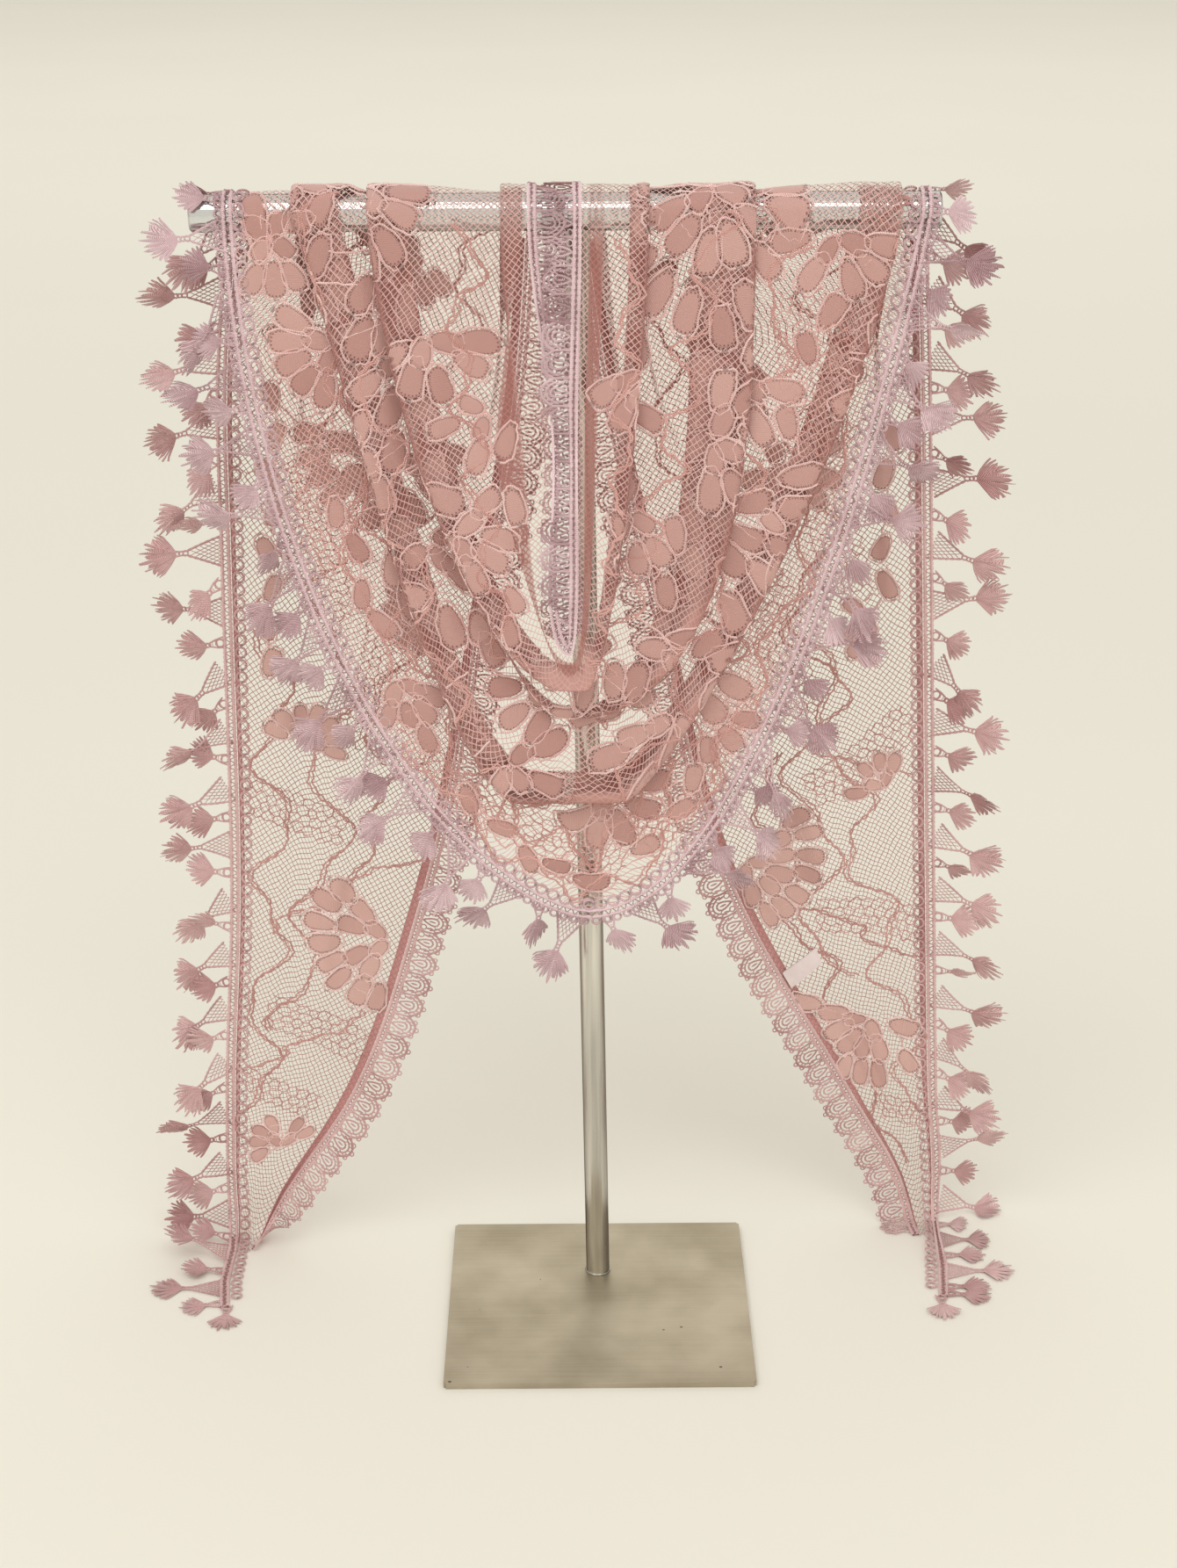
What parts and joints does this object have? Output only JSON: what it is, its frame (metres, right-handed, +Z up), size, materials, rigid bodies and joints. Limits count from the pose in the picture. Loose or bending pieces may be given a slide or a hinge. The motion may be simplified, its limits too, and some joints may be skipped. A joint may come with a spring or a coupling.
{
  "type": "lace shawl on a t-bar stand",
  "caption": "Triangular lace shawl with a pendant fringe and a scalloped edging, draped over a steel T-bar display stand that stands on a square plate.",
  "frame": {"origin": "centre of the base plate's underside", "axes": "+Z up, +X to the viewer's right, the shawl's front faces -Y"},
  "size_m": [0.4599, 0.1643, 0.5633],
  "materials": {
    "steel": "brushed, satin",
    "lace": "matt net with satin stitched petals",
    "guipure": "silky corded thread",
    "label": "satin ribbon, bare"
  },
  "bodies": {
    "root": {"stand_base": "steel", "stand_pole": "steel", "stand_crossbar": "steel", "shawl_front": "lace", "shawl_tail_left": "lace", "shawl_tail_right": "lace", "fringe_front": "guipure", "fringe_tail_left": "guipure", "fringe_tail_right": "guipure", "scallop_cowl": "guipure", "scallop_tail_left": "guipure", "scallop_tail_right": "guipure", "care_label": "label"}
  },
  "joints": []
}
